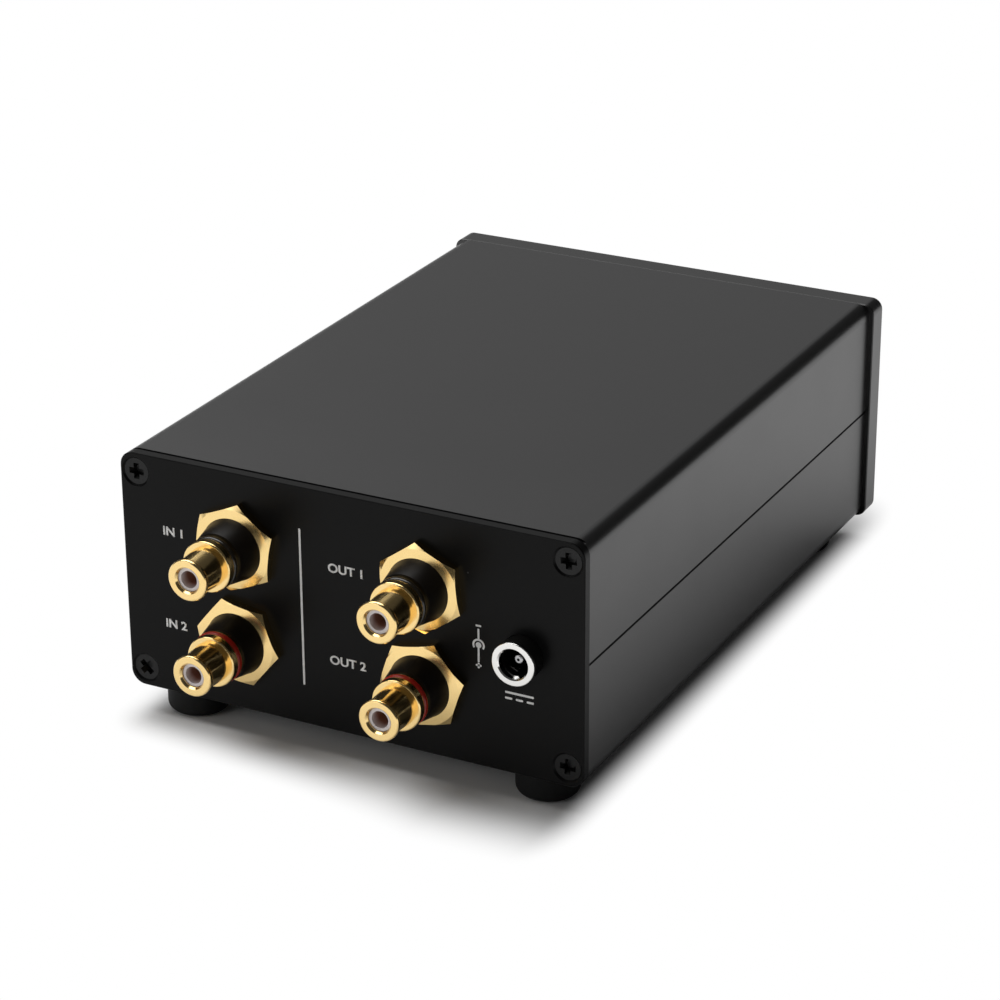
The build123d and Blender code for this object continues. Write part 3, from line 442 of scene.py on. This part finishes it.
def resistorMaterial(settings):
    low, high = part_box("resistors")
    material, tree, shader = newMaterial("bandedResistor")
    place = objectPlace(tree, shift=(0, -(low.y + high.y) / 2, 0))
    step = mathNode(tree, "PINGPONG", placeAxes(tree, place)["Y"], settings["bandPitch"])
    banded = mathNode(tree, "LESS_THAN", step, settings["bandWidth"] / 2)
    clouds = placeGroup(tree, mottle, place, **settings["clouds"])
    base = mixColours(tree, banded, settings["body"], settings["band"])
    join(tree, base, shader.inputs["Base Color"])
    roughFromMottle(tree, shader, clouds.outputs["Tone"], settings["roughness"])
    addBump(tree, shader, clouds.outputs["Factor"], settings["bump"], settings["bumpDepth"])
    return material


# capacitor cans: dark sleeve with a bare aluminium top
capacitorSettings = {
    "sleeve": (0.014, 0.016, 0.026),
    "top": (0.50, 0.50, 0.50),
    "topDepth": 0.0007,
    "clouds": {"Scale": 300.0, "Spread": 0.12},
    "roughness": 0.35,
    "bump": 0.08,
    "bumpDepth": 0.00004,
}


def capacitorMaterial(settings):
    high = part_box("filter_capacitors")[1]
    material, tree, shader = newMaterial("capacitorSleeve")
    place = objectPlace(tree)
    bare = mathNode(tree, "GREATER_THAN", placeAxes(tree, place)["Z"], high.z - settings["topDepth"])
    clouds = placeGroup(tree, mottle, place, **settings["clouds"])
    base = mixColours(tree, bare, settings["sleeve"], settings["top"])
    join(tree, base, shader.inputs["Base Color"])
    join(tree, bare, shader.inputs["Metallic"])
    roughFromMottle(tree, shader, clouds.outputs["Tone"], settings["roughness"])
    addBump(tree, shader, clouds.outputs["Factor"], settings["bump"], settings["bumpDepth"])
    return material


# tinted clear lens of the power light
lensSettings = {
    "colour": (0.55, 0.66, 0.80),
    "paler": (0.62, 0.72, 0.84),
    "clear": 0.6,
    "ior": 1.49,
    "clouds": {"Scale": 900.0, "Spread": 0.06},
    "roughness": 0.12,
}


def lensMaterial(settings):
    material, tree, shader = newMaterial("lightLens")
    shader.inputs["Transmission Weight"].default_value = settings["clear"]
    shader.inputs["IOR"].default_value = settings["ior"]
    clouds = placeGroup(tree, mottle, objectPlace(tree), **settings["clouds"])
    base = mixColours(tree, clouds.outputs["Factor"], settings["colour"], settings["paler"])
    join(tree, base, shader.inputs["Base Color"])
    roughFromMottle(tree, shader, clouds.outputs["Tone"], settings["roughness"])
    return material


caseFinish = anodisedMaterial("case", anodisedSettings)
panelFinish = anodisedMaterial("panel", anodisedSettings)
goldFinish = plateMaterial("goldPlate", "gold", plateSettings)
nickelFinish = plateMaterial("nickelPlate", "nickel", plateSettings)
steelFinish = plateMaterial("satinSteel", "steel", plateSettings)
insulatorFinish = insulatorMaterial(insulatorSettings)
moulded = {name: mouldedMaterial(name, values) for name, values in mouldedSettings.items()}

finishOfNode = {
    "top_shell": caseFinish,
    "bottom_shell": caseFinish,
    "rear_panel": panelFinish,
    "front_panel": caseFinish,
    "volume_knob": knobMaterial(knobSettings),
    "rear_panel_screws": moulded["screwBlack"],
    "front_panel_screws": moulded["screwBlack"],
    "foot_screws": moulded["screwBlack"],
    "knob_set_screw": moulded["screwBlack"],
    "front_left_foot": moulded["footRubber"],
    "front_right_foot": moulded["footRubber"],
    "rear_left_foot": moulded["footRubber"],
    "rear_right_foot": moulded["footRubber"],
    "jack_contacts": goldFinish,
    "jack_solder_lugs": goldFinish,
    "jack_rear_nuts": goldFinish,
    "dc_socket_body": moulded["inletBlack"],
    "dc_socket_ring": nickelFinish,
    "dc_socket_pin": steelFinish,
    "dc_socket_spring": nickelFinish,
    "dc_socket_nut": nickelFinish,
    "pot_nut": nickelFinish,
    "pot_bush": nickelFinish,
    "pot_shaft": steelFinish,
    "pot_terminals": nickelFinish,
    "pot_body": moulded["mattBlackPlastic"],
    "switch_nut": nickelFinish,
    "switch_terminals": nickelFinish,
    "power_button": steelFinish,
    "power_switch_body": steelFinish,
    "power_light": lensMaterial(lensSettings),
    "circuit_board": boardMaterial(boardSettings),
    "filter_capacitors": capacitorMaterial(capacitorSettings),
    "amplifier_chips": moulded["mattBlackPlastic"],
    "voltage_regulator": moulded["mattBlackPlastic"],
    "resistors": resistorMaterial(resistorSettings),
    "board_connectors": moulded["connectorGreen"],
    "hookup_wires": moulded["wireRed"],
}
for jack in jackNames:
    finishOfNode[jack + "_shell"] = goldFinish
    finishOfNode[jack + "_nut"] = goldFinish
    finishOfNode[jack + "_bush"] = moulded["bushBlack"]
    finishOfNode[jack + "_ring"] = moulded["ringRed" if jack.startswith("right") else "ringBlack"]
    finishOfNode[jack + "_insulator"] = insulatorFinish
for name, node in nodes.items():
    node.material_slots[0].material = finishOfNode[name]
print("finishes given to", len(finishOfNode), "nodes")


# white print; a flat outline is rounded, then given a paint film's thickness
printSettings = {
    "film": 0.00003,
    "letterSize": 0.0025,
    "letterWidth": 1.10,
    "letterWeight": 0.030,
    "barRound": 0.35,
    "barSteps": 3,
    "arcPoints": 72,
    "dotPoints": 32,
    "dotInset": 0.25,
    "dotCrown": 0.00001,
    "labels": {
        "IN 1": (0.0116, 0.0348),
        "IN 2": (0.0112, 0.0149),
        "OUT 1": (0.0500, 0.0345),
        "OUT 2": (0.0499, 0.0151),
    },
}
panelLow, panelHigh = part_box("rear_panel")
rearTurn = (math.radians(90), 0, math.radians(180))
frontTurn = (math.radians(90), 0, 0)


def deselectAll():
    bpy.ops.object.select_all(action="DESELECT")


# a place on the rear panel, from its left and bottom edges as seen from behind
def onPanel(column, height):
    return (panelHigh.x - column, panelHigh.y, panelLow.z + height)


def applyAll(piece):
    deselectAll()
    piece.select_set(True)
    bpy.context.view_layer.objects.active = piece
    bpy.ops.object.transform_apply(location=True, rotation=True, scale=True)


def finishPrint(piece, name, place, turn, body="case"):
    film = piece.modifiers.new("film", "SOLIDIFY")
    film.thickness = printSettings["film"]
    film.offset = 0.0
    bpy.context.view_layer.objects.active = piece
    bpy.ops.object.modifier_apply(modifier=film.name)
    piece.name = name
    piece.data.name = name
    piece.location = place
    piece.rotation_euler = turn
    applyAll(piece)
    piece.data.materials.clear()
    piece.data.materials.append(moulded["printWhite"])
    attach(piece, body)


def addBar(name, place, size, turn=rearTurn, lean=0.0, body="case"):
    deselectAll()
    bpy.ops.mesh.primitive_plane_add(size=1)
    bar = bpy.context.object
    bar.scale = (*size, 1)
    applyAll(bar)
    bpy.ops.object.mode_set(mode="EDIT")
    bpy.ops.mesh.select_all(action="SELECT")
    rounding = min(size) * printSettings["barRound"]
    bpy.ops.mesh.bevel(offset=rounding, segments=printSettings["barSteps"], affect="VERTICES")
    bpy.ops.object.mode_set(mode="OBJECT")
    bar.rotation_euler = (0, 0, lean)
    applyAll(bar)
    finishPrint(bar, name, place, turn, body)


def addLabel(name, text, place, size):
    deselectAll()
    bpy.ops.object.text_add()
    label = bpy.context.object
    label.data.body = text
    label.data.size = size
    label.data.align_x = "CENTER"
    label.data.align_y = "CENTER"
    label.data.offset = printSettings["letterWeight"] * size
    bpy.ops.object.convert(target="MESH")
    label = bpy.context.object
    label.scale = (printSettings["letterWidth"], 1, 1)
    applyAll(label)
    finishPrint(label, name, place, rearTurn)


def addArc(name, place, radius, line, opening, middle):
    deselectAll()
    points = printSettings["arcPoints"]
    bpy.ops.mesh.primitive_circle_add(vertices=points, radius=radius, fill_type="NOTHING")
    arc = bpy.context.object
    bpy.ops.object.mode_set(mode="EDIT")
    bpy.ops.mesh.select_all(action="DESELECT")
    bpy.ops.object.mode_set(mode="OBJECT")
    for vertex in arc.data.vertices:
        angle = math.degrees(math.atan2(vertex.co.y, vertex.co.x))
        vertex.select = abs((angle - middle + 180) % 360 - 180) < opening / 2
    bpy.ops.object.mode_set(mode="EDIT")
    bpy.ops.mesh.delete(type="VERT")
    bpy.ops.mesh.select_all(action="SELECT")
    bpy.ops.mesh.extrude_edges_move()
    share = (radius - line) / radius
    bpy.ops.transform.resize(value=(share, share, 1), center_override=(0, 0, 0))
    bpy.ops.mesh.select_all(action="SELECT")
    bpy.ops.mesh.normals_make_consistent(inside=False)
    bpy.ops.object.mode_set(mode="OBJECT")
    finishPrint(arc, name, place, rearTurn)


def addDot(name, place, radius, turn=rearTurn):
    deselectAll()
    points = printSettings["dotPoints"]
    bpy.ops.mesh.primitive_circle_add(vertices=points, radius=radius, fill_type="NGON")
    dot = bpy.context.object
    bpy.ops.object.mode_set(mode="EDIT")
    bpy.ops.mesh.select_all(action="SELECT")
    bpy.ops.mesh.inset(thickness=radius * printSettings["dotInset"], depth=printSettings["dotCrown"])
    bpy.ops.object.mode_set(mode="OBJECT")
    finishPrint(dot, name, place, turn)


for text, place in printSettings["labels"].items():
    addLabel("label" + text.replace(" ", ""), text, onPanel(*place), printSettings["letterSize"])

# line between the inputs and the outputs
dividerSettings = {"place": (0.0400, 0.0249), "size": (0.00045, 0.0330)}
addBar("panelDivider", onPanel(*dividerSettings["place"]), dividerSettings["size"])

# direct current sign under the inlet: a long bar over three short ones
currentSettings = {
    "column": 0.0866,
    "height": 0.0163,
    "wide": 0.0060,
    "dash": 0.0015,
    "gap": 0.0012,
    "line": 0.00045,
}


def addCurrentSign(settings):
    upper = settings["height"] + settings["gap"] / 2
    lower = settings["height"] - settings["gap"] / 2
    addBar("currentBar", onPanel(settings["column"], upper), (settings["wide"], settings["line"]))
    reach = (settings["wide"] - settings["dash"]) / 2
    for number, side in enumerate((-1, 0, 1), start=1):
        dashPlace = onPanel(settings["column"] + side * reach, lower)
        addBar("currentDash" + str(number), dashPlace, (settings["dash"], settings["line"]))


addCurrentSign(currentSettings)

# polarity sign: minus to the open ring, plus to the dot inside it
polaritySettings = {
    "column": 0.0781,
    "minus": 0.0293,
    "plus": 0.0211,
    "arm": 0.0012,
    "line": 0.0004,
    "upperLead": (0.0276, 0.0022),  # height on the panel, and length
    "lowerLead": (0.0234, 0.0032),
    "ring": 0.0253,
    "ringRadius": 0.0013,
    "opening": 100,  # degrees, round its lowest point
    "lowest": -90,
    "dot": 0.0006,
}


def addLead(name, lead, settings):
    height, length = lead
    addBar(name, onPanel(settings["column"], height), (settings["line"], length))


def addPolarity(settings):
    line = settings["line"]
    heights = ("minus", "ring", "plus")
    minus, ring, plus = [onPanel(settings["column"], settings[height]) for height in heights]
    addBar("signMinus", minus, (settings["arm"], line))
    addLead("signUpperLead", settings["upperLead"], settings)
    addArc("signRing", ring, settings["ringRadius"], line, settings["opening"], settings["lowest"])
    addDot("signDot", ring, settings["dot"])
    addLead("signLowerLead", settings["lowerLead"], settings)
    addBar("signPlusAcross", plus, (settings["arm"], line))
    addBar("signPlusUp", plus, (line, settings["arm"]))


addPolarity(polaritySettings)
print("rear panel printed")

# front print: a dot scale round the knob, with a longer mark at each end of its turn
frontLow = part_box("front_panel")[0]
knobLow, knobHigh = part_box("volume_knob")
knobCentre = (knobLow + knobHigh) / 2
scaleSettings = {"reach": 0.0182, "dot": 0.00045, "steps": 11, "sweep": 300.0, "mark": (0.0005, 0.0022)}


def addScale(settings):
    last = settings["steps"] - 1
    for step in range(settings["steps"]):
        angle = math.radians(settings["sweep"] * (step / last - 0.5))
        spotX = knobCentre.x + settings["reach"] * math.sin(angle)
        spotZ = knobCentre.z + settings["reach"] * math.cos(angle)
        spot = (spotX, frontLow.y, spotZ)
        if step in (0, last):
            addBar("scaleMark" + str(step), spot, settings["mark"], frontTurn, -angle)
        else:
            addDot("scaleDot" + str(step), spot, settings["dot"], frontTurn)


addScale(scaleSettings)

# paint in the knob's pointer groove
pointerSettings = {"size": (0.0008, 0.0066), "top": 0.0014, "depth": 0.00047}
pointerPlace = (
    knobCentre.x,
    knobLow.y + pointerSettings["depth"],
    knobHigh.z - pointerSettings["top"] - pointerSettings["size"][1] / 2,
)
addBar("knobPointerPaint", pointerPlace, pointerSettings["size"], frontTurn, 0.0, "volume_knob")
print("front panel printed")


# floor, white away from the object, with the object's own shadow near it
floorSettings = {
    "size": 12.0,
    "colour": (0.93, 0.93, 0.93),
    "roughness": 0.9,
    # distances from the case where the shadow starts to clear and where white starts,
    # then how much shorter both are beside the case, how far under it they begin there,
    # and how much they shorten along the rear panel, per metre
    "seen": (0.0004, 0.0167, 1.8, 0.006, 11.0),
    "mirrored": (0.0020, 0.0850, 1.4, 0.0, 0.0),
    "widest": 0.75,  # least share that this leaves at the other end
}


# distance on the floor from the case's outline
def caseDistance(tree, axes, sideShare, sideInset, skew):
    sideways = mathNode(tree, "SUBTRACT", axes["X"], (panelLow.x + panelHigh.x) / 2)
    lengthways = mathNode(tree, "SUBTRACT", axes["Y"], (frontLow.y + panelHigh.y) / 2)
    halfWide = (panelHigh.x - panelLow.x) / 2 - sideInset
    halfLong = (panelHigh.y - frontLow.y) / 2
    slope = mathNode(tree, "ADD", mathNode(tree, "MULTIPLY", sideways, skew), 1.0)
    rearShare = mathNode(tree, "MAXIMUM", slope, floorSettings["widest"])
    squares = []
    for offset, half, share in ((sideways, halfWide, sideShare), (lengthways, halfLong, rearShare)):
        outside = mathNode(tree, "SUBTRACT", mathNode(tree, "ABSOLUTE", offset), half)
        beyond = mathNode(tree, "MULTIPLY", mathNode(tree, "MAXIMUM", outside, 0.0), share)
        squares.append(mathNode(tree, "POWER", beyond, 2.0))
    return mathNode(tree, "SQRT", mathNode(tree, "ADD", squares[0], squares[1]))


def addFloor(settings):
    deselectAll()
    bpy.ops.mesh.primitive_plane_add(size=settings["size"], location=(0, 0, 0))
    floor = bpy.context.object
    floor.name = "studioFloor"
    material, tree, shader = newMaterial("floorPaper")
    shader.inputs["Base Color"].default_value = (*settings["colour"], 1.0)
    shader.inputs["Roughness"].default_value = settings["roughness"]
    shader.inputs["Specular IOR Level"].default_value = 0.0
    axes = placeAxes(tree, objectPlace(tree))
    path = addNode(tree, "ShaderNodeLightPath")
    shares = []
    spanOfRay = {"Is Camera Ray": "seen", "Is Glossy Ray": "mirrored", "Is Transmission Ray": "seen"}
    for rays, span in spanOfRay.items():
        clear, plain, sideShare, sideInset, skew = settings[span]
        fade = addNode(tree, "ShaderNodeMapRange", interpolation_type="SMOOTHSTEP")
        fade.inputs["From Min"].default_value = clear
        fade.inputs["From Max"].default_value = plain
        distance = caseDistance(tree, axes, sideShare, sideInset, skew)
        join(tree, distance, fade.inputs["Value"])
        shares.append(mathNode(tree, "MULTIPLY", path.outputs[rays], fade.outputs["Result"]))
    share = mathNode(tree, "MAXIMUM", mathNode(tree, "MAXIMUM", shares[0], shares[1]), shares[2])
    white = addNode(tree, "ShaderNodeEmission")
    mix = addNode(tree, "ShaderNodeMixShader")
    output = next(node for node in tree.nodes if node.type == "OUTPUT_MATERIAL")
    join(tree, share, mix.inputs["Fac"])
    join(tree, shader.outputs["BSDF"], mix.inputs[1])
    join(tree, white.outputs["Emission"], mix.inputs[2])
    join(tree, mix.outputs["Shader"], output.inputs["Surface"])
    floor.data.materials.append(material)


addFloor(floorSettings)


# plain soft studio light: a box overhead, a pale wall of light, two boxes behind the camera, a dim surround
lightSettings = {
    "overheadBox": {"place": (0.42, -0.12, 0.95), "aim": (0, 0, 0.03), "size": (1.0, 1.0), "power": 10.0},
    "wallBox": {"place": (1.05, -1.45, 0.78), "aim": (0, 0, 0.10), "size": (1.9, 1.8), "power": 3.2},
    "rearBox": {"place": (0.70, 1.20, 0.75), "aim": (0, 0, 0.03), "size": (0.55, 0.55), "power": 0.6},
    "lowBox": {"place": (1.00, 1.05, 0.40), "aim": (0, 0.07, 0.03), "size": (1.4, 0.8), "power": 3.4},
}
surroundSettings = {"colour": (1.0, 1.0, 1.0), "strength": 0.05}


def addLight(name, settings):
    bpy.ops.object.light_add(type="AREA", location=settings["place"])
    light = bpy.context.object
    light.name = name
    light.data.shape = "RECTANGLE"
    light.data.size, light.data.size_y = settings["size"]
    light.data.energy = settings["power"]
    aim = [target - start for start, target in zip(settings["place"], settings["aim"])]
    flat = math.hypot(aim[0], aim[1])
    light.rotation_euler = (math.atan2(flat, -aim[2]), 0, math.atan2(aim[1], aim[0]) - math.pi / 2)


for name, settings in lightSettings.items():
    addLight(name, settings)
world = bpy.data.worlds.new("studio")
world.use_nodes = True
background = world.node_tree.nodes["Background"]
background.inputs["Color"].default_value = (*surroundSettings["colour"], 1.0)
background.inputs["Strength"].default_value = surroundSettings["strength"]
scene.world = world
print("floor and lights placed")
